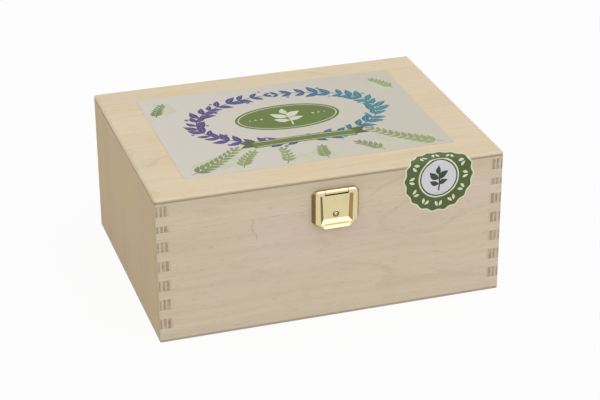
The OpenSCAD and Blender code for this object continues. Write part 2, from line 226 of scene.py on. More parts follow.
def new_group(name, inputs, outputs):
    """Shader node group and the sockets at its ends. An input with no value is a vector."""
    group = bpy.data.node_groups.new(name, "ShaderNodeTree")
    for label, value in inputs.items():
        kind = "Vector" if value is None else "Color" if isinstance(value, tuple) else "Float"
        socket = group.interface.new_socket(label, in_out="INPUT", socket_type="NodeSocket" + kind)
        if value is not None:
            socket.default_value = value
    for label in outputs:
        kind = "Color" if label == "Color" else "Float"
        group.interface.new_socket(label, in_out="OUTPUT", socket_type="NodeSocket" + kind)
    return group, group.nodes.new("NodeGroupInput").outputs, group.nodes.new("NodeGroupOutput").inputs


def place_group(group, links):
    """Puts a node group into the tree of the vector that it is given. Returns its outputs."""
    return add_node(links["Vector"].id_data, "Group", links, node_tree=group).outputs


# Face veneer with its grain along X: fibres, streaks, the growth lines that a rotary cut
# leaves as long bends, soft pink and yellow patches, and short flecks.
birch_veneer, given, made = new_group(
    "birch_veneer",
    {"Vector": None, "Wood": white, "Warm": white, "Rosy": white, "Grain": 1.0, "Lines": 1.0},
    ("Color", "Roughness", "Height"))
tree, vector = birch_veneer, given["Vector"]
drift = add_node(tree, "TexNoise", {"Vector": vector, "Scale": 9.0, "Detail": 1.0})
drift = add_node(tree, "VectorMath", {0: drift.outputs["Color"], 1: (0.5, 0.5, 0.5)}, operation="SUBTRACT")
drift = add_node(tree, "VectorMath", {0: drift.outputs[0], 1: (0.0, 8 * mm, 8 * mm)}, operation="MULTIPLY")
bent = add_node(tree, "VectorMath", {0: vector, 1: drift.outputs[0]}, operation="ADD").outputs[0]
fibre = fibres(bent, 0.05, 1700.0, 3.0, 0.6)
streak = fibres(bent, 0.04, 260.0, 4.0, 0.6)
band = fibres(bent, 0.12, 42.0)
patch = fibres(vector, 0.5, 20.0)
blush = fibres(vector, 0.6, 26.0, turn=(0.4, 0.7, 0.2))
fleck = ramp(fibres(vector, 0.2, 900.0, 1.0), 0.6, 0.76)
growth = product(fibres(bent, 0.28, 13.0, 2.0, 0.45), 11.0)
growth = calculate("PINGPONG", growth, 0.5)
line_here = ramp(fibres(vector, 0.5, 30.0, 1.0), 0.45, 0.62)
line = product(ramp(growth, 0.0, 0.09, 1.0, 0.0), line_here, given["Lines"])
colour = mix_colours(ramp(patch, 0.42, 0.66), given["Wood"], given["Warm"])
colour = mix_colours(ramp(blush, 0.5, 0.72, 0.0, 0.8), colour, given["Rosy"])
shade = sway(0.0, fibre, 0.16)
shade = sway(shade, streak, 0.22)
shade = sway(shade, band, 0.16)
shade = plus(product(shade, given["Grain"]), line, -0.08)
shade = plus(1.0, plus(shade, fleck, -0.1))
tone = add_node(tree, "CombineColor", {0: shade, 1: shade, 2: calculate("POWER", shade, 1.25)})
link_all(made, Color=mix_colours(1.0, colour, tone.outputs[0], "MULTIPLY"),
         Roughness=plus(0.52, streak, 0.2), Height=plus(product(streak, 0.4), fibre, 0.6))

# Cut edge of the plywood: every other ply shows its end grain and is darker, and the cut is a
# little torn. Depth runs from the board's outer face.
seven_plies = {"First": 1.2 * mm, "Pitch": 2.65 * mm, "Width": 2.05 * mm, "Last": 7.8 * mm}
ply_edge, given, made = new_group("ply_edge", {"Vector": None, "Depth": 0.0, **seven_plies}, ("Mask",))
vector = given["Vector"]
depth = sway(given["Depth"], noise(vector, 420.0), 0.7 * mm)
place = calculate("DIVIDE", minus(depth, given["First"]), given["Pitch"])
place = calculate("FRACT", plus(100.5, place))
place = product(size_of(minus(place, 0.5)), given["Pitch"])
half = product(given["Width"], plus(0.2, depth, 45.0))
mask = ramp(minus(half, place), -0.15 * mm, 0.2 * mm)
inside = calculate("LESS_THAN", depth, given["Last"])
torn = ramp(noise(vector, 420.0, 3.0, 0.6), 0.35, 0.6, 0.5, 1.0)
worn = ramp(noise(vector, 95.0, 1.0), 0.35, 0.55, 0.75, 1.0)
link_all(made, Mask=product(mask, inside, torn, worn))

# Mask of a thin line along a joint: dirt where the glue line shows as a thin dark edge, and the
# painted highlight along the parting line. It fades within Width of the joint, and its edge is frayed.
joint_line, given, made = new_group(
    "joint_line", {"Vector": None, "Distance": 0.0, "Width": 0.25 * mm}, ("Mask",))
frayed = plus(0.4, noise(given["Vector"], 300.0), 1.2)
share = calculate("DIVIDE", size_of(given["Distance"]), product(given["Width"], frayed))
link_all(made, Mask=ramp(share, 0.3, 1.0, 1.0, 0.0))


def joint(vector, distance, width):
    """Mask of a joint line."""
    return place_group(joint_line, {"Vector": vector, "Distance": distance, "Width": width})["Mask"]


def new_material(name):
    """Material with its Object coordinates and its normal."""
    material = bpy.data.materials.new(name)
    material.use_nodes = True
    place = add_node(material.node_tree, "TexCoord").outputs
    return material, place["Object"], place["Normal"]


def finish_material(material, colour, surface, constants, relief=0.0, depth=0.1 * mm, height=None):
    """Gives a material its colour, the roughness and relief of a surface, and constant values."""
    shader = material.node_tree.nodes["Principled BSDF"]
    link_all(shader.inputs, **{"Base Color": colour, "Roughness": surface["Roughness"]})
    for name, value in constants.items():
        shader.inputs[name].default_value = value
    if relief:
        links = {"Height": height or surface["Height"], "Strength": relief, "Distance": depth}
        link_all(shader.inputs, Normal=add_node(material.node_tree, "Bump", links).outputs[0])
    return material


def finger_distance(height, first):
    """Distance in height to the nearest end of a finger, in a pattern whose first starts at first."""
    along = calculate("FRACT", calculate("DIVIDE", minus(height, first), finger_pitch))
    along = product(along, finger_pitch)
    to_start = calculate("MINIMUM", along, minus(finger_pitch, along))
    return calculate("MINIMUM", to_start, size_of(minus(along, finger_h)))


def scrawl(vector, x, y, z):
    """Strength of a thin dark scrawl of mineral stain in the front's face veneer."""
    stain_x, stain_z, stain_half = -52.7 * mm, 70.5 * mm, 8 * mm
    swing = calculate("SINE", product(minus(z, 62 * mm), 520.0))
    curl = calculate("SINE", product(z, 1450.0))
    track = plus(stain_x, minus(z, stain_z + 0.5 * mm), -0.18)
    track = plus(plus(track, curl, 0.35 * mm), swing, 1.1 * mm)
    span = size_of(minus(z, stain_z))
    span = ramp(span, stain_half - 1.5 * mm, stain_half, 1.0, 0.0)
    broken = ramp(noise(vector, 330.0, 1.0), 0.32, 0.5)
    in_front = calculate("LESS_THAN", y, 0.0)
    return product(joint(vector, minus(x, track), 0.55 * mm), span, broken, in_front, 0.34)


def plied(vector, depth, face, wood, cut, turn, veneer_links, plies):
    """Surface and colour of plywood: face veneer, and the cut plies where the face turns away."""
    veneer = place_group(birch_veneer, {
        "Vector": stretched(vector, (1, 1, 1), turn), **wood, **veneer_links})
    edge = place_group(ply_edge, {"Vector": vector, "Depth": depth, **plies})
    stripes = product(edge["Mask"], minus(1.0, face))
    colour = mix_colours(face, cut[0], veneer["Color"])
    return veneer, mix_colours(stripes, colour, cut[1]), stripes


def plywood(name, across, wood, cut, first_finger, turn=(0, 0, 0), grain=1.0, lines=1.0, mark=False):
    """Plywood of the walls whose plies lie across X or Y, with the joints at their corners."""
    material, vector, normal = new_material(name)
    spots, faces = split(vector), split(normal)
    own, halves = "XY".index(across), (half_width, half_depth)
    face = ramp(size_of(faces[own]), 0.55, 0.8)
    depth = minus(halves[own], size_of(spots[own]))
    veneer, colour, stripes = plied(
        vector, depth, face, wood, cut, turn, {"Grain": grain, "Lines": lines}, {})
    # the corners' joints show within a wall's thickness of the corner
    corner = halves[1 - own] - wall_t - 0.2 * mm
    at_corner = calculate("GREATER_THAN", size_of(spots[1 - own]), corner)
    fingers = joint(vector, finger_distance(spots[2], first_finger), 0.3 * mm)
    dirt = product(fingers, at_corner, 0.15)
    if across == "Y":
        # the arrises of the parting line get a painted pale highlight, which lightens the shade of the gap
        # between base and lid
        seam_highlight = product(joint(vector, minus(spots[2], seam_z), 0.9 * mm), 0.1)
        colour = mix_colours(seam_highlight, colour, (0.9, 0.82, 0.7, 1))
        # darker and warmer towards the top of the lid's walls
        darker_to_top = ramp(spots[2], 80 * mm, 96 * mm, 0.0, 0.16)
        colour = mix_colours(darker_to_top, colour, (0.5, 0.38, 0.22, 1))
    if mark:
        dirt = calculate("MAXIMUM", dirt, scrawl(vector, *spots))
    colour = mix_colours(dirt, colour, (0.16, 0.1, 0.06, 1))
    height = plus(veneer["Height"], stripes, -1.2)
    return finish_material(material, colour, veneer, {"Specular IOR Level": 0.25}, 0.18, height=height)


def finish_nodes(names, material):
    """Gives CAD nodes their material."""
    for name in names:
        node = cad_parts[name]
        if not node.material_slots:
            node.data.materials.append(material)
        for held in node.material_slots:
            held.material = material


front_wood = {
    "Wood": (0.65, 0.548, 0.415, 1), "Warm": (0.652, 0.548, 0.403, 1), "Rosy": (0.66, 0.535, 0.425, 1)}
front_cut = ((0.585, 0.445, 0.268, 1), (0.52, 0.39, 0.24, 1))
finish_nodes(["base_front_wall", "base_back_wall"], plywood(
    "birch_wall_base", "Y", front_wood, front_cut, base_finger, mark=True))
finish_nodes(["lid_front_rail", "lid_back_rail"], plywood(
    "birch_wall_lid", "Y", front_wood, front_cut, lid_finger))

# Side walls, base and lid
# The same birch, cut with the grain upright, so that it looks browner and more streaked. Their
# fingers reach through to the front and back, where all the plies show.
side_wood = {
    "Wood": (0.585, 0.445, 0.268, 1), "Warm": (0.592, 0.453, 0.256, 1), "Rosy": (0.60, 0.435, 0.285, 1)}
side_cut = ((0.60, 0.50, 0.375, 1), (0.365, 0.262, 0.18, 1))
upright = (0, math.pi / 2, 0)
finish_nodes(["base_left_wall", "base_right_wall"], plywood(
    "birch_side_base", "X", side_wood, side_cut, base_finger, upright, grain=0.75, lines=0.8))
finish_nodes(["lid_left_rail", "lid_right_rail"], plywood(
    "birch_side_lid", "X", side_wood, side_cut, lid_finger, upright, grain=0.75, lines=0.8))

# Top and bottom panels
# Three-ply birch, 3 mm thick, glued over the walls and sanded round. The panels are yellower
# than the walls, and the dark middle ply shows as a thin line round their edges.
panel_wood = {
    "Wood": (0.72, 0.602, 0.417, 1), "Warm": (0.73, 0.587, 0.386, 1), "Rosy": (0.72, 0.602, 0.45, 1)}
panel_cut = ((0.66, 0.555, 0.41, 1), (0.58, 0.48, 0.36, 1))
three_plies = {"First": 1.5 * mm, "Pitch": 6 * mm, "Width": 0.9 * mm, "Last": 3 * mm}
lid_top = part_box("lid_panel")[1].z
under_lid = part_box("lid_front_rail")[1].z


def thin_plywood(name, cut, rule):
    """Thin plywood. The rule gives the depth in it, the share of face, and the grain's turn."""
    material, vector, normal = new_material(name)
    spots = split(vector)
    depth, face, turn = rule(spots, split(normal))
    veneer, colour, stripes = plied(
        vector, depth, face, panel_wood, cut, turn, {"Grain": 0.9, "Lines": 1.0}, three_plies)
    # the lowest two millimetres get painted shade, darker and greyer, for the shade of the rounded bottom
    # edge at the table
    foot = plus(spots[2], noise(vector, 160.0, 3.0), 0.8 * mm)
    foot = ramp(foot, 2.1 * mm, 2.9 * mm, 0.56, 0.0)
    colour = mix_colours(foot, colour, (0.28, 0.225, 0.18, 1))
    # painted shade on the lid panel's edge, strongest at the joint under the lid's edge and fading upwards
    lid_edge_shade = ramp(spots[2], under_lid + 0.4 * mm, under_lid + 2 * mm, 0.74, 0.0)
    above = calculate("GREATER_THAN", spots[2], under_lid - 1 * mm)
    lid_edge_shade = product(lid_edge_shade, minus(1.0, face), above)
    colour = mix_colours(lid_edge_shade, colour, (0.26, 0.175, 0.1, 1))
    return finish_material(material, colour, veneer, {"Specular IOR Level": 0.25}, 0.15)


def flat_plies(spots, faces):
    """Depth below the top or above the underside of the box, whichever is nearer."""
    from_top = size_of(minus(spots[2], lid_top))
    depth = calculate("MINIMUM", from_top, size_of(spots[2]))
    return depth, ramp(size_of(faces[2]), 0.1, 0.6), (0, 0, 0)


finish_nodes(["bottom_panel", "lid_panel"], thin_plywood("birch_panel", panel_cut, flat_plies))

# Dividers
# One long and two cross dividers of the same thin plywood, halved into each other and glued
# into grooves in the walls.
divider_cut = (panel_wood["Wood"], (0.5, 0.38, 0.25, 1))
cross_low, cross_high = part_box("divider_cross_right")
cross_x = (cross_low.x + cross_high.x) / 2
divider_t = cross_high.x - cross_low.x


def upright_plies(axis, middle, turn):
    """Rule for dividers across an axis, whose middles lie that far from the box's middle."""
    def depth_of(spots, faces):
        off = minus(size_of(spots[axis]), middle)
        depth = minus(divider_t / 2, size_of(off))
        return depth, ramp(size_of(faces[axis]), 0.5, 0.8), turn
    return depth_of


finish_nodes(["divider_long"], thin_plywood(
    "birch_divider_long", divider_cut, upright_plies(1, 0.0, (0, 0, 0))))
finish_nodes(["divider_cross_left", "divider_cross_right"], thin_plywood(
    "birch_divider_cross", divider_cut, upright_plies(0, cross_x, (0, 0, math.pi / 2))))

# Hinges
# Two small butt hinges of brass-plated sheet on the back, four round-headed nails each. The
# plating is bright, with faint rolling marks and a little tarnish.
metal_wear, given, made = new_group(
    "metal_wear",
    {"Vector": None, "Metal": white, "Tarnish": white, "Amount": 0.4, "Polish": 0.2},
    ("Color", "Roughness", "Height"))
vector = given["Vector"]
cloud = noise(vector, 160.0, 4.0, 0.6)
marks = noise(stretched(vector, (1, 1, 0.06)), 1800.0)
dull = product(ramp(cloud, 0.5, 0.75), given["Amount"])
rough = plus(given["Polish"], dull, 0.3)
link_all(made, Color=mix_colours(dull, given["Metal"], given["Tarnish"]),
         Roughness=plus(rough, marks, 0.06), Height=marks)


def brass(name, metal, tarnish, amount, polish, flank_shade=0.0, top_light_and_shade=0.0):
    """Brass-plated sheet, deeper in colour on flanks that face sideways as painted shade, paler where it
    faces up as a painted highlight, and darker on its very top as a painted dark reflection.
    """
    material, vector, normal = new_material(name)
    wear = place_group(metal_wear, {
        "Vector": vector, "Metal": metal, "Tarnish": tarnish, "Amount": amount, "Polish": polish})
    faces = split(normal)
    # painted shade on sideways flanks, a painted highlight on faces that look up, and a painted dark
    # reflection on the top of the roll
    flank_shading = ramp(size_of(faces[0]), 0.35, 0.85, 0.0, flank_shade)
    colour = mix_colours(flank_shading, wear["Color"], (0.22, 0.13, 0.045, 1))
    colour = mix_colours(ramp(faces[2], 0.3, 0.6, 0.0, top_light_and_shade), colour, (0.75, 0.60, 0.44, 1))
    colour = mix_colours(ramp(faces[2], 0.8, 0.93, 0.0, top_light_and_shade), colour, (0.3, 0.24, 0.1, 1))
    return finish_material(material, colour, wear, {"Metallic": 1.0}, 0.05, 0.02 * mm)


hinge_brass = brass("brass_hinge", (0.78, 0.62, 0.32, 1), (0.5, 0.35, 0.15, 1), 0.5, 0.26)
nail_brass = brass("brass_nail", (0.80, 0.66, 0.36, 1), (0.45, 0.32, 0.14, 1), 0.6, 0.2)
finish_nodes(["hinge_left_base_leaf", "hinge_right_base_leaf", "hinge_left_lid_leaf",
              "hinge_right_lid_leaf", "hinge_left_pin", "hinge_right_pin"], hinge_brass)
finish_nodes(["hinge_base_nails", "hinge_lid_nails"], nail_brass)

# Clasp: fixed plate, catch plate and nails
# The fixed plate is rolled round the pin above the hasp, and the catch plate is nailed to the
# base behind it.
bright, stained = (0.73, 0.63, 0.36, 1), (0.6, 0.47, 0.24, 1)
# the clasp's brass gets the painted highlight and the painted dark top, and the hasp's also the painted
# flank shade
clasp_brass = brass("brass_clasp", bright, stained, 0.2, 0.16, top_light_and_shade=0.8)
hasp_brass = brass("brass_hasp", bright, stained, 0.2, 0.16, flank_shade=0.8, top_light_and_shade=1.0)
finish_nodes(["latch_plate", "catch_plate"], clasp_brass)
finish_nodes(["latch_plate_nails", "catch_nails"], nail_brass)

# Clasp: hasp
# One piece of bright brass sheet, pressed into a dish inside a flat rim. Its sides flare to
# the wood, its top is rolled round the pin at both ends, and a lip at the bottom lifts it.
# Places are measured from the pin. Halves are half widths.
pin_low, pin_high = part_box("latch_pin")
pin = (pin_low + pin_high) / 2
sheet_t, roll_r, corner_r, round_r = 0.7 * mm, 1.65 * mm, 2.1 * mm, 0.8 * mm
lip_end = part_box("hasp")[0].z - pin.z
lip_l, lean = 0.65 * mm, 0.55 * mm
rim_end, shoulder = lip_end + lip_l, lip_end + 3.7 * mm
rim_y, floor_y = -roll_r, 0.05 * mm
rim_half, crown_half, lip_half, lip_end_half = 13.35 * mm, 12.1 * mm, 9.3 * mm, 7.9 * mm
mouth_half, mouth_low_half = 10.9 * mm, 10.5 * mm
mouth_top, mouth_low = -1.95 * mm, lip_end + 3.0 * mm
floor_half, floor_low_half = 9.15 * mm, 8.3 * mm
floor_top, floor_low = -2.75 * mm, lip_end + 5.4 * mm
knuckle_half, crease_h = 7.85 * mm, 0.8 * mm
flare, wall_steps = 0.58, 12
near = 0.02 * mm


def to_mode(mode):
    """Switches the active piece to EDIT or OBJECT mode."""
    bpy.ops.object.mode_set(mode=mode)


def settle():
    """Puts the place, turn and size of what is selected into its mesh."""
    bpy.ops.object.transform_apply(location=True, rotation=True, scale=True)


def select_only(*pieces):
    """Selects the pieces and nothing else. The first is the active one."""
    bpy.ops.object.select_all(action="DESELECT")
    for piece in pieces:
        piece.select_set(True)
    bpy.context.view_layer.objects.active = pieces[0]


def pick(kind, test):
    """Selects those vertices, edges or faces of the mesh in edit mode that pass the test."""
    bpy.ops.mesh.select_mode(type=kind)
    bpy.ops.mesh.select_all(action="DESELECT")
    mesh = bmesh.from_edit_mesh(bpy.context.object.data)
    parts = {"VERT": mesh.verts, "EDGE": mesh.edges, "FACE": mesh.faces}[kind]
    for part in parts:
        corners = [part.co] if kind == "VERT" else [corner.co for corner in part.verts]
        if all(test(corner) for corner in corners):
            part.select_set(True)
    mesh.select_flush_mode()
    bmesh.update_edit_mesh(bpy.context.object.data)


def pick_rim(test):
    """Selects the open edges whose middles pass the test."""
    bpy.ops.mesh.select_mode(type="EDGE")
    bpy.ops.mesh.select_all(action="DESELECT")
    mesh = bmesh.from_edit_mesh(bpy.context.object.data)
    for edge in mesh.edges:
        if edge.is_boundary and test((edge.verts[0].co + edge.verts[1].co) / 2):
            edge.select_set(True)
    bmesh.update_edit_mesh(bpy.context.object.data)


def cut(place, direction, drop=False):
    """Cuts the mesh in edit mode along a plane, and drops what lies beyond it if asked."""
    bpy.ops.mesh.select_all(action="SELECT")
    bpy.ops.mesh.bisect(plane_co=place, plane_no=Vector(direction).normalized(), threshold=0.001 * mm,
                        clear_outer=drop)


def put(test, **where):
    """Sets given coordinates of the vertices that pass the test, each a number or a rule."""
    mesh = bmesh.from_edit_mesh(bpy.context.object.data)
    for corner in [v for v in mesh.verts if test(v.co)]:
        old = corner.co.copy()
        for axis, value in where.items():
            setattr(corner.co, axis, value(old) if callable(value) else value)
    bmesh.update_edit_mesh(bpy.context.object.data)


def pull_edges(y, z=0.0):
    """Extrudes the selected edges by a step in Y and Z."""
    bpy.ops.mesh.extrude_edges_move(TRANSFORM_OT_translate={"value": (0, y, z)})


def delete_faces(test):
    """Deletes the faces that pass the test."""
    pick("FACE", test)
    bpy.ops.mesh.delete(type="FACE")


def paint(slot):
    """Gives the selected faces one of the active piece's materials."""
    bpy.context.object.active_material_index = slot
    bpy.ops.object.material_slot_assign()


def new_disc(vertices, radius, **more):
    """Flat round face."""
    bpy.ops.mesh.primitive_circle_add(vertices=vertices, radius=radius, fill_type="NGON", **more)
    return bpy.context.object


def apply_modifier(kind, **settings):
    """Adds a modifier to the active piece and applies it."""
    made = bpy.context.object.modifiers.new(kind.lower(), kind)
    for name, value in settings.items():
        setattr(made, name, value)
    bpy.ops.object.modifier_apply(modifier=made.name)


def smooth(degrees):
    """Shades the selected piece smooth, save where its faces meet at more than an angle."""
    bpy.ops.object.shade_smooth_by_angle(angle=math.radians(degrees))


def finish_piece(name, material, body, slot, *replaced):
    """Names the active piece, puts its place in its mesh, and gives it finish and body."""
    piece = bpy.context.object
    settle()
    piece.name = piece.data.name = name
    if material:
        piece.data.materials.clear()
        piece.data.materials.append(material)
    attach(piece, body)
    if replaced:
        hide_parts(*replaced)
    bpy.ops.object.select_all(action="DESELECT")


def at(value, wanted):
    """Whether a coordinate is as wanted."""
    return abs(value - wanted) < near


def outward(p):
    """Direction in x and z in which the hasp's outline grows at one of its points."""
    if p.z > -corner_r:
        return Vector((max(abs(p.x) - rim_half + corner_r, 0), p.z + corner_r)).normalized()
    slope = math.atan2(rim_half - lip_half, shoulder - rim_end)
    turn = slope * min(max((shoulder + 0.7 * mm - p.z) / (1.4 * mm), 0), 1)
    return Vector((math.cos(turn), -math.sin(turn)))


def shaped(p):
    """Where a point of the hasp's straight wall lies once it is rounded, flared and rolled."""
    deep = p.y - rim_y
    out = round_r + (deep - round_r) * flare
    if deep < round_r:
        out = math.sqrt(round_r ** 2 - (round_r - deep) ** 2)
    arch = math.sqrt(max(roll_r ** 2 - p.y ** 2, 0))
    way = outward(p)
    rise = way.y * (arch if way.y > 0 else 0.3 * out)
    return Vector((p.x + math.copysign(way.x * out, p.x), p.y, p.z + rise))


def in_mouth(p):
    """Whether a point lies in the dish's opening, on its edge, or deeper."""
    return mouth_low - near < p.z < mouth_top + near and abs(p.x) < mouth_half + near


def on_floor(p):
    """Whether a point lies on the floor of the dish."""
    return at(p.y, floor_y) and abs(p.x) < mouth_half + near and p.z < mouth_top + near


def under_knuckle(p):
    """Whether a point lies in the middle of the top, below the fixed plate's knuckle."""
    return p.z > mouth_top - near and abs(p.x) < knuckle_half + near


# the flat of the rim, with round upper corners and chamfered lower ones
bpy.ops.mesh.primitive_plane_add(size=1, rotation=(math.pi / 2, 0, 0))
hasp = bpy.context.object
hasp.scale = (2 * rim_half, -rim_end, 1)
hasp.location = (0, rim_y, rim_end / 2)
settle()
to_mode("EDIT")
for side in (-1, 1):
    cut((side * rim_half, rim_y, shoulder), (side * (shoulder - rim_end), 0, lip_half - rim_half), drop=True)
pick("VERT", lambda p: at(p.z, 0))
bpy.ops.mesh.bevel(offset=corner_r, segments=8, affect="VERTICES")
pick("VERT", lambda p: at(p.z, shoulder))
bpy.ops.mesh.bevel(offset=0.8 * mm, segments=4, affect="VERTICES")
# the wall round it, rolled at the top and flared at the sides
pick_rim(lambda p: p.z > rim_end + near)
for k in range(wall_steps):
    pull_edges(roll_r * (math.cos(math.pi * k / wall_steps) - math.cos(math.pi * (k + 1) / wall_steps)))
put(lambda p: p.y > rim_y + near, xyz=shaped)
pick_rim(lambda p: at(p.z, 0) and p.y > roll_r - near and abs(p.x) < rim_half - corner_r)
bpy.ops.mesh.spin(steps=6, angle=math.radians(85), center=(0, 0, 0), axis=(1, 0, 0))
for x in (knuckle_half, mouth_half, crown_half):
    cut((x, 0, 0), (1, 0, 0))
    cut((-x, 0, 0), (1, 0, 0))
for z in (mouth_top, mouth_low, mouth_low - crease_h):
    cut((0, 0, z), (0, 0, 1))
# the fixed plate's knuckle takes the middle of the top
delete_faces(under_knuckle)
# the dish, with no wall under the knuckle
pick("FACE", lambda p: in_mouth(p) and p.y < rim_y + near)
bpy.ops.mesh.extrude_region_move(TRANSFORM_OT_translate={"value": (0, floor_y - rim_y, 0)})
put(lambda p: on_floor(p) and abs(p.x) > knuckle_half + near,
    x=lambda p: math.copysign(floor_half if p.z > mouth_top - near else floor_low_half, p.x))
put(lambda p: on_floor(p) and p.z < mouth_low + near, z=floor_low)
delete_faces(under_knuckle)
put(lambda p: on_floor(p) and under_knuckle(p), z=floor_top)
put(lambda p: at(p.y, rim_y) and at(abs(p.x), mouth_half) and at(p.z, mouth_low),
    x=lambda p: math.copysign(mouth_low_half, p.x))
# the rim is crowned, and the lip turns outwards
put(lambda p: at(p.y, rim_y) and at(abs(p.x), crown_half) and p.z < mouth_top + near, y=rim_y - 0.18 * mm)
put(lambda p: at(p.y, rim_y) and p.z < mouth_low - near,
    y=lambda p: rim_y - lean * (mouth_low - p.z) / (mouth_low - rim_end))
pick_rim(lambda p: p.z < rim_end + near and p.y < rim_y + near)
pull_edges(-0.2 * mm, -0.35 * mm)
pull_edges(-0.3 * mm, -0.3 * mm)
put(lambda p: p.z < rim_end - near and p.y < rim_y - near,
    x=lambda p: p.x * (1 + (lip_end_half / lip_half - 1) * (rim_end - p.z) / lip_l))
bpy.ops.mesh.select_all(action="SELECT")
bpy.ops.mesh.remove_doubles(threshold=0.01 * mm)
bpy.ops.mesh.normals_make_consistent(inside=False)
to_mode("OBJECT")
facing = sum(face.normal.y * face.area for face in hasp.data.polygons if at(face.center.y, rim_y))
if facing > 0:
    hasp.data.flip_normals()
# the steep sides of the dish get painted shade and painted dark reflection, darker on the left than on the
# right
recess_left_shade = brass("brass_recess_left", (0.23, 0.19, 0.08, 1), (0.14, 0.11, 0.04, 1), 0.4, 0.3)
recess_right_shade = brass("brass_recess_right", (0.37, 0.265, 0.105, 1), (0.24, 0.17, 0.06, 1), 0.4, 0.3)
# the crease material paints a dark reflection on a strip of the rim just under the dish's mouth
crease_reflection = brass("brass_crease", (0.45, 0.34, 0.2, 1), (0.3, 0.2, 0.1, 1), 0.4, 0.25)
for material in (hasp_brass, recess_left_shade, recess_right_shade, crease_reflection):
    hasp.data.materials.append(material)
to_mode("EDIT")
for slot, side in ((1, -1), (2, 1)):
    pick("FACE", lambda p: in_mouth(p) and side * p.x > floor_low_half - near and p.y < floor_y + near)
    paint(slot)
pick("FACE", lambda p: mouth_low - crease_h - near < p.z < mouth_low + near
     and abs(p.x) < knuckle_half + near and p.y < rim_y + near)
paint(3)
to_mode("OBJECT")
apply_modifier("BEVEL", width=0.4 * mm, segments=3, limit_method="ANGLE", angle_limit=math.radians(28))
apply_modifier("SOLIDIFY", thickness=sheet_t, offset=-1.0)

# the dimple is punched through the floor of the dish, with a round tip in its middle
dimple_r = 2.1 * mm
dimple = Vector((0, floor_y, floor_low + 3.0 * mm))
bpy.ops.mesh.primitive_cylinder_add(vertices=40, radius=dimple_r, depth=3 * mm, location=dimple,
                                    rotation=(math.pi / 2, 0, 0))
punch = bpy.context.object
bpy.context.view_layer.objects.active = hasp
apply_modifier("BOOLEAN", operation="DIFFERENCE", object=punch, solver="EXACT")
bpy.data.objects.remove(punch)
select_only(hasp)
hasp.location = pin
smooth(40)
finish_piece("hasp_pressing", None, "hasp", "brass", "hasp")

tip = new_disc(40, dimple_r + 0.1 * mm, rotation=(math.pi / 2, 0, 0))
settle()
tip.data.materials.append(hasp_brass)
# the second material paints shade into the dimple's grooves
tip.data.materials.append(brass("brass_groove", (0.2, 0.14, 0.06, 1), (0.1, 0.06, 0.02, 1), 0.3, 0.3))
to_mode("EDIT")
bpy.ops.mesh.select_all(action="SELECT")
# each ring's width and rise in millimetres, and whether it is a groove that gets painted shade
for step, rise, shaded_ring in ((0.15, 0.12, 0), (0.2, -0.05, 1), (0.3, -0.45, 1), (0.2, 0.0, 1), (0.15, 0.35, 0),
                           (0.35, 0.2, 0), (0.45, 0.08, 0), (0.1, -0.12, 1)):
    paint(shaded_ring)
    bpy.ops.mesh.inset(thickness=step * mm, depth=rise * mm)
to_mode("OBJECT")
apply_modifier("SOLIDIFY", thickness=0.3 * mm, offset=-1.0)
smooth(60)
tip.location = pin + dimple + Vector((0, -0.03 * mm, 0))
finish_piece("hasp_dimple", None, "hasp", "brass")

# Clasp: pin
# A length of brass wire through the knuckles. Its ends are nipped off inside the hasp's corners.
pin_r = (pin_high.z - pin_low.z) / 2
bpy.ops.mesh.primitive_cylinder_add(vertices=32, radius=pin_r, depth=24 * mm, location=pin,
                                    rotation=(0, math.pi / 2, 0))
apply_modifier("BEVEL", width=0.25 * mm, segments=3, limit_method="ANGLE", angle_limit=math.radians(60))
smooth(40)
finish_piece("clasp_pin", clasp_brass, "lid", "brass", "latch_pin")

# Label
# A sheet of uncoated paper glued on the lid, slightly grey. It is printed with a wreath of
# leaves round a green badge, a blank ribbon, and sprigs in the corners.
ink_t, layer_rise = 0.02 * mm, 0.012 * mm
label_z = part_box("lid_label")[1].z
paper_fibre, given, made = new_group(
    "paper_fibre", {"Vector": None, "Ink": white, "Wash": 0.06}, ("Color", "Roughness", "Height"))
tree, vector = paper_fibre, given["Vector"]
pulp = noise(vector, 1500.0, 3.0, 0.7)
cloud = minus(noise(vector, 110.0, 4.0, 0.6), 0.5)
shade = plus(sway(1.0, pulp, 0.08), cloud, given["Wash"])
tone = add_node(tree, "CombineColor", {0: shade, 1: shade, 2: shade})
link_all(made, Color=mix_colours(1.0, given["Ink"], tone.outputs[0], "MULTIPLY"),
         Roughness=plus(0.5, pulp, 0.15), Height=pulp)


def printed(name, ink, wash=0.06, second=None, across=90 * mm):
    """Paper with a print on it: one ink, or two that run into each other from left to right."""
    material, vector, normal = new_material(name)
    if second:
        ends = ramp(split(vector)[0], -across, across)
        ink = mix_colours(ends, ink, second)
    paper = place_group(paper_fibre, {"Vector": vector, "Ink": ink, "Wash": wash})
    return finish_material(material, paper["Color"], paper, {"Specular IOR Level": 0.3}, 0.06, 0.05 * mm)


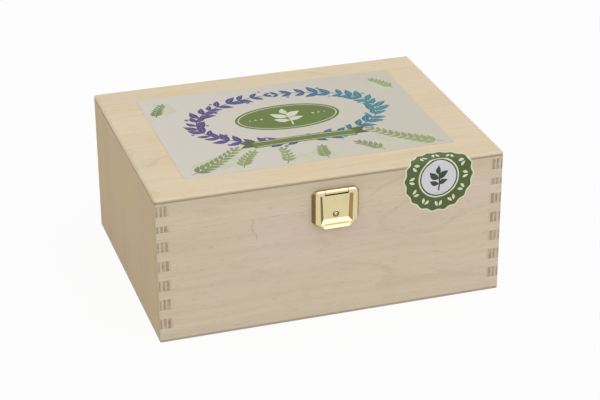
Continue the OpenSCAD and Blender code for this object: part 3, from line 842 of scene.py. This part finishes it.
def leaf_print(name, stops, rib, across):
    """Leaf painted in watercolour: inks that change from left to right, a rib, and side veins."""
    material, vector, normal = new_material(name)
    inks = add_node(vector.id_data, "ValToRGB", {0: plus(0.5, split(vector)[0], 0.5 / across)})
    while len(inks.color_ramp.elements) < len(stops):
        inks.color_ramp.elements.new(0.5)
    for element, (place, ink) in zip(inks.color_ramp.elements, stops):
        element.position = place
        element.color = ink
    paper = place_group(paper_fibre, {"Vector": vector, "Ink": inks.outputs[0], "Wash": 0.7})
    leaf_spots = split(add_node(material.node_tree, "UVMap").outputs[0])
    off_rib = size_of(minus(leaf_spots[1], 0.5))
    veins = calculate("PINGPONG", plus(product(leaf_spots[0], 5.0), off_rib, -1.6), 0.5)
    veins = ramp(veins, 0.03, 0.1, 0.5, 0.0)
    drawn = calculate("MAXIMUM", ramp(off_rib, 0.03, 0.07, 1.0, 0.0), veins)
    colour = mix_colours(product(drawn, 0.35), paper["Color"], rib)
    return finish_material(material, colour, paper, {"Specular IOR Level": 0.3})


def new_grid(along, across):
    """Flat square of a metre, divided along X and Y."""
    bpy.ops.mesh.primitive_grid_add(x_subdivisions=along, y_subdivisions=across, size=1)
    return bpy.context.object


def make_leaf(length, width, bow):
    """Flat pointed leaf from the origin along +X, with its own UV from stalk to tip."""
    leaf = new_grid(8, 4)
    for corner in leaf.data.vertices:
        t, side = corner.co.x + 0.5, corner.co.y * width
        belly = math.sin(math.pi * min(1, max(0, t)) ** 0.85)
        corner.co = Vector((t * length, side * belly + bow * math.sin(math.pi * t), 0))
    return leaf


def make_stem(path, width, steps=24):
    """Thin flat band along a path given as a rule from 0 to 1."""
    stem = new_grid(steps, 1)
    for corner in stem.data.vertices:
        t, side = corner.co.x + 0.5, corner.co.y * width
        here, ahead, behind = path(t), path(min(t + 0.01, 1)), path(max(t - 0.01, 0))
        course = Vector((ahead[0] - behind[0], ahead[1] - behind[1], 0)).normalized()
        corner.co = Vector((here[0] - course.y * side, here[1] + course.x * side, 0))
    return stem


def copy_of(pattern):
    """Copy with a mesh of its own."""
    copy = pattern.copy()
    copy.data = pattern.data.copy()
    bpy.context.collection.objects.link(copy)
    return copy


def join(parts):
    """Joins several objects into one with its place in its mesh."""
    select_only(*parts)
    bpy.ops.object.join()
    settle()
    return bpy.context.object


def repeat(pattern, places):
    """Copies a pattern to (x, y, turn, size) places, each a hair above the last, and joins them."""
    copies = []
    for i, (x, y, turn, size) in enumerate(places):
        copy = copy_of(pattern)
        place = Matrix.Translation((x, y, i % 7 * 0.0013 * mm))
        copy.matrix_world = place @ Matrix.Rotation(turn, 4, "Z") @ Matrix.Scale(size, 4)
        copies.append(copy)
    bpy.data.objects.remove(pattern)
    return join(copies)


def make_seedling(leaf, pairs, tip, foot, length, curve):
    """Stem with pairs of leaves of (height, turn, size), and one leaf of (height, size) at its tip."""
    places = []
    for y, turn, size in pairs:
        places += [(0, y * mm, math.radians(turn), size), (0, y * mm, math.radians(180 - turn), size)]
    leaves = repeat(leaf, [*places, (0, tip[0] * mm, math.radians(90), tip[1])])
    stem = make_stem(lambda t: (curve * math.sin(3 * t), foot + length * t), 1.0 * mm)
    stem.location.z = -0.002 * mm
    join([leaves, stem])


def make_rings(half_x, half_y, middle, insets):
    """Flat ellipse with rings inside it, each with its width and material."""
    plate = new_disc(96, 1)
    plate.scale = (half_x, half_y, 1)
    plate.location = (*middle, 0)
    settle()
    slots = list(dict.fromkeys(material for step, material in insets))
    for material in slots:
        plate.data.materials.append(material)
    to_mode("EDIT")
    bpy.ops.mesh.select_all(action="SELECT")
    for step, material in insets:
        paint(slots.index(material))
        if step:
            bpy.ops.mesh.inset(thickness=step)
    to_mode("OBJECT")


def print_on_label(name, material, layer):
    """Lays the active flat shape on the label as ink, in the order of its layer."""
    apply_modifier("SOLIDIFY", thickness=ink_t, offset=0.0)
    bpy.context.object.location.z = label_z + layer * layer_rise
    finish_piece(name, material, "lid", "label_paper")


finish_nodes(["lid_label"], printed("label_paper", (0.64, 0.603, 0.532, 1), second=(0.585, 0.545, 0.462, 1)))

# the wreath: a violet, blue and teal garland of leaves on a thin stem
wreath_x, wreath_y, wreath_middle = 62 * mm, 39 * mm, (0, 9 * mm)
stations, berry_count = 40, 22


def on_wreath(t):
    """Point of the wreath's stem, once round from 0 to 1."""
    angle = 2 * math.pi * t - math.pi / 2
    return (wreath_middle[0] + wreath_x * math.cos(angle), wreath_middle[1] + wreath_y * math.sin(angle))


def course_of(path, t):
    """Direction of a path at t, as an angle."""
    here, ahead = path(t), path(t + 0.002)
    return math.atan2(ahead[1] - here[1], ahead[0] - here[0])


wreath_inks = leaf_print(
    "wreath_inks",
    [(0.0, (0.075, 0.028, 0.15, 1)), (0.3, (0.05, 0.035, 0.19, 1)), (0.55, (0.028, 0.07, 0.21, 1)),
     (0.8, (0.022, 0.14, 0.23, 1)), (1.0, (0.03, 0.21, 0.25, 1))],
    (0.5, 0.55, 0.62, 1), 66 * mm)
stem_ink = printed("stem_ink", (0.1, 0.09, 0.28, 1), 0.3, (0.03, 0.22, 0.28, 1))
berry_ink = printed("berry_ink", (0.22, 0.1, 0.35, 1), 0.5, (0.06, 0.36, 0.4, 1), 70 * mm)
make_stem(on_wreath, 0.8 * mm, steps=120)
print_on_label("wreath_stem", stem_ink, 1)
places = []
for i in range(stations):
    t = (i + 0.5) / stations
    x, y = on_wreath(t)
    # the leaves grow from the bottom up on both sides, and meet at the top
    course = course_of(on_wreath, t) + (0 if t < 0.5 else math.pi)
    spread = math.radians(40 + 9 * math.sin(i * 2.4))
    # the two tips are small, so that they don't cross
    size = (0.9 + 0.14 * math.sin(i * 1.7)) * (0.55 if abs(t - 0.5) < 0.02 else 1.0)
    places += [(x, y, course + spread, size * 0.95), (x, y, course - spread, size)]
repeat(make_leaf(12.5 * mm, 5.2 * mm, 0.8 * mm), places)
print_on_label("wreath_leaves", wreath_inks, 2)
berry = new_disc(16, 1.1 * mm)
places = []
for i in range(berry_count):
    x, y = on_wreath((i + 0.3) / berry_count)
    y -= wreath_middle[1]
    off = 1 + (7.5 if i % 2 else -7) * mm / math.hypot(x, y)
    places.append((x * off, wreath_middle[1] + y * off, 0, 1.1 + 0.25 * math.sin(i * 2.2)))
repeat(berry, places)
print_on_label("wreath_berries", berry_ink, 3)

# the badge: a green oval with a pale line and a pale seedling
badge_green = printed("badge_green", (0.12, 0.175, 0.032, 1), 0.35)
print_cream = printed("print_cream", (0.66, 0.66, 0.52, 1))
make_rings(36 * mm, 20 * mm, wreath_middle, [
    (0.9 * mm, badge_green), (0.9 * mm, badge_green), (0.7 * mm, print_cream), (0, badge_green)])
print_on_label("badge", None, 3)
make_seedling(make_leaf(13 * mm, 6.5 * mm, 1 * mm), [(8, 38, 1.0), (2.5, 22, 0.85)], (13, 0.75),
              -5 * mm, 20 * mm, 0.7 * mm)
print_on_label("badge_seedling", print_cream, 5)
dot_y = wreath_middle[1] + 0.5 * mm
repeat(new_disc(12, 0.8 * mm), [
    (side * (18 + 4 * k) * mm, dot_y, 0, 1.2 - 0.25 * k) for side in (-1, 1) for k in range(3)])
print_on_label("badge_dots", print_cream, 5)

# the blank ribbon under the badge, with a notched tail behind each end and a line at each edge
ribbon_green = printed("ribbon_green", (0.135, 0.18, 0.04, 1), 0.35)
ribbon_shade = printed("ribbon_shade", (0.08, 0.11, 0.025, 1), 0.3)
ribbon_y, ribbon_half, ribbon_h = -29 * mm, 35 * mm, 9.5 * mm
tail_l, tail_y = 12 * mm, ribbon_y + 2.2 * mm


def along_ribbon(x, off=0.0):
    """Height on the label of the arched ribbon's middle line, or of a line beside it."""
    return ribbon_y + off + 1.2 * mm * math.cos(x / ribbon_half * math.pi / 2)


def edge_line(off):
    """Path of a line along the ribbon."""
    def path(t):
        x = (2 * t - 1) * (ribbon_half - 1.5 * mm)
        return (x, along_ribbon(x, off))
    return path


tails = []
for side in (-1, 1):
    tail = new_grid(2, 2)
    tail.scale = (tail_l, ribbon_h, 1)
    tail.location = (side * (ribbon_half + 3 * mm), tail_y, 0)
    settle()
    to_mode("EDIT")
    put(lambda p: side * p.x > ribbon_half + 8 * mm and abs(p.y - tail_y) < 1 * mm,
        x=side * (ribbon_half + 5 * mm))
    to_mode("OBJECT")
    tails.append(tail)
join(tails)
print_on_label("ribbon_tails", ribbon_shade, 4)
ribbon = new_grid(24, 1)
ribbon.scale = (2 * ribbon_half, ribbon_h, 1)
settle()
for corner in ribbon.data.vertices:
    corner.co.y += along_ribbon(corner.co.x)
print_on_label("ribbon", ribbon_green, 6)
join([make_stem(edge_line(side * 3.3 * mm), 0.55 * mm) for side in (-1, 1)])
print_on_label("ribbon_lines", print_cream, 8)

# pale washes of (x, y, half width, half height) in millimetres, under the sprigs
wash_ink = printed("wash_ink", (0.57, 0.575, 0.43, 1), 0.35)
washes = []
for x, y, half_x, half_y in (
        (-62, -49, 17, 9), (60, -50, 20, 8), (2, -55, 16, 6), (-76, 46, 8, 10), (77, 42, 7, 11)):
    wash = new_disc(60, 1)
    wash.scale = (half_x * mm, half_y * mm, 1)
    settle()
    for i, corner in enumerate(wash.data.vertices):
        corner.co *= 1 + 0.12 * math.sin(i * 0.52 + x) + 0.07 * math.sin(i * 1.25 + y)
    wash.location = (x * mm, y * mm, 0)
    washes.append(wash)
join(washes)
print_on_label("washes", wash_ink, 0.5)


# sprigs of garden herbs: root in millimetres, turn, length, bend, pairs of leaves, and their size
def on_sprig(root, turn, length, bend):
    """Path of a bent stem from its root."""
    def path(t):
        heading = turn + bend * t / 2
        return (root[0] + length * t * math.cos(heading), root[1] + length * t * math.sin(heading))
    return path


herb_green = leaf_print(
    "herb_green",
    [(0.0, (0.14, 0.19, 0.06, 1)), (0.35, (0.3, 0.36, 0.13, 1)), (0.65, (0.19, 0.24, 0.09, 1)),
     (1.0, (0.31, 0.36, 0.16, 1))],
    (0.55, 0.6, 0.38, 1), 88 * mm)
stem_green = printed("stem_green", (0.14, 0.2, 0.08, 1), 0.4)
leaf_spread = math.radians(42)
sprigs = [
    ((-84, -60), 28, 46, 20, 9, 1.0), ((-50, -60), 75, 24, -30, 6, 0.85), ((-22, -62), 60, 22, 40, 5, 0.8),
    ((6, -62), 100, 17, -25, 5, 0.8), ((84, -60), 150, 50, -22, 10, 1.0), ((44, -61), 110, 20, 35, 5, 0.8),
    ((84, 34), 104, 20, 25, 6, 0.7), ((-84, 34), 76, 20, -20, 6, 0.7)]
stems, leaves = [], []
for (x, y), turn, length, bend, pairs, size in sprigs:
    path = on_sprig((x * mm, y * mm), math.radians(turn), length * mm, math.radians(bend))
    stems.append(make_stem(path, 0.6 * mm, steps=16))
    for i in range(pairs):
        t = (i + 1) / (pairs + 0.5)
        here, course = path(t), course_of(path, t)
        fit = size * (1 - 0.35 * t)
        leaves += [(*here, course + leaf_spread, fit), (*here, course - leaf_spread, fit)]
    leaves.append((*path(1), course_of(path, 0.99), size * 0.6))
join(stems)
print_on_label("herb_stems", stem_green, 1)
repeat(make_leaf(9.5 * mm, 3.8 * mm, 0.6 * mm), leaves)
print_on_label("herb_leaves", herb_green, 2)

# Seal
# A round scalloped paper sticker over the closed lid, green with a pale border and a pale disc.
# It is folded over the lid's edge, and slit at the parting line so that the lid can open.
seal_green = printed("seal_green", (0.092, 0.12, 0.043, 1), 0.3)
seal_pale = printed("seal_pale", (0.70, 0.75, 0.51, 1), 0.15)
seal_disc = printed("seal_disc", (0.66, 0.65, 0.68, 1), 0.1)
seal_ink = printed("seal_ink", (0.045, 0.06, 0.038, 1), 0.2)
seal_x, seal_z, seal_r, seal_t = 70.6 * mm, 88 * mm, 24.2 * mm, 0.2 * mm
scallop_depth, scallop_count, leaflet_count = 1.1 * mm, 18, 24
slit_low, slit_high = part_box("seal_lower")[1].z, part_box("seal_upper")[0].z
wall_y = -half_depth
edge_r = 1.6 * mm
fold_z = lid_top - edge_r


def folded(p):
    """Where a point of the flat sheet in front of the box lies once it is folded over the lid."""
    past = p.z - fold_z
    if past <= 0:
        return p
    turn = min(past / edge_r, math.pi / 2)
    beyond = max(past - edge_r * math.pi / 2, 0)
    reach = edge_r + wall_y - p.y
    return Vector((p.x, wall_y + edge_r - reach * math.cos(turn) + beyond, fold_z + reach * math.sin(turn)))


def lay_seal(name, lift, thickness):
    """Stands the active flat shape up as a layer of the seal, folds it, and slits it in two."""
    upper = bpy.context.object
    upper.rotation_euler = (math.pi / 2, 0, 0)
    upper.location = (seal_x, wall_y - lift, seal_z)
    settle()
    lower = copy_of(upper)
    for piece, side, body in ((upper, "upper", "lid"), (lower, "lower", "base")):
        select_only(piece)
        to_mode("EDIT")
        if piece == upper:
            cut((0, 0, slit_high), (0, 0, -1), drop=True)
            for k in range(9):
                cut((0, 0, fold_z + k * edge_r * math.pi / 16), (0, 0, 1))
        else:
            cut((0, 0, slit_low), (0, 0, 1), drop=True)
        to_mode("OBJECT")
        if not piece.data.polygons:
            bpy.data.objects.remove(piece)
            continue
        for corner in piece.data.vertices:
            corner.co = folded(corner.co)
        apply_modifier("SOLIDIFY", thickness=thickness, offset=-1.0)
        smooth(30)
        replaced = ["seal_" + side] if name == "seal_sheet" else []
        finish_piece(name + "_" + side, None, body, "seal_paper", *replaced)


sheet = new_disc(216, seal_r)
for corner in sheet.data.vertices:
    angle = math.atan2(corner.co.y, corner.co.x)
    corner.co *= 1 - scallop_depth / 2 / seal_r * (1 - math.cos(angle * scallop_count))
sheet.data.materials.append(seal_pale)
sheet.data.materials.append(seal_green)
to_mode("EDIT")
bpy.ops.mesh.select_all(action="SELECT")
bpy.ops.mesh.inset(thickness=0.95 * mm)
paint(1)
to_mode("OBJECT")
lay_seal("seal_sheet", seal_t, seal_t)
make_rings(13.8 * mm, 13.8 * mm, (0, 0), [(1.0 * mm, seal_pale), (0.9 * mm, seal_ink), (0, seal_disc)])
lay_seal("seal_middle", seal_t + ink_t, ink_t)
make_seedling(make_leaf(8.2 * mm, 4.2 * mm, 0.6 * mm), [(-1, 40, 1.0), (-4.5, 22, 0.8)], (2, 0.8),
              -9 * mm, 12 * mm, 0.5 * mm)
bpy.context.object.data.materials.append(seal_ink)
lay_seal("seal_sprout", seal_t + 2 * ink_t, ink_t)
ring = []
for i in range(leaflet_count):
    angle = 2 * math.pi * (i + 0.5) / leaflet_count
    place = Vector((math.cos(angle), math.sin(angle))) * 16.4 * mm
    ring.append((*place, angle + (0.5 if i % 2 else -0.5), 1.0))
repeat(make_leaf(4.2 * mm, 1.9 * mm, 0.2 * mm), ring)
bpy.context.object.data.materials.append(seal_pale)
lay_seal("seal_leaflets", seal_t + ink_t, ink_t)
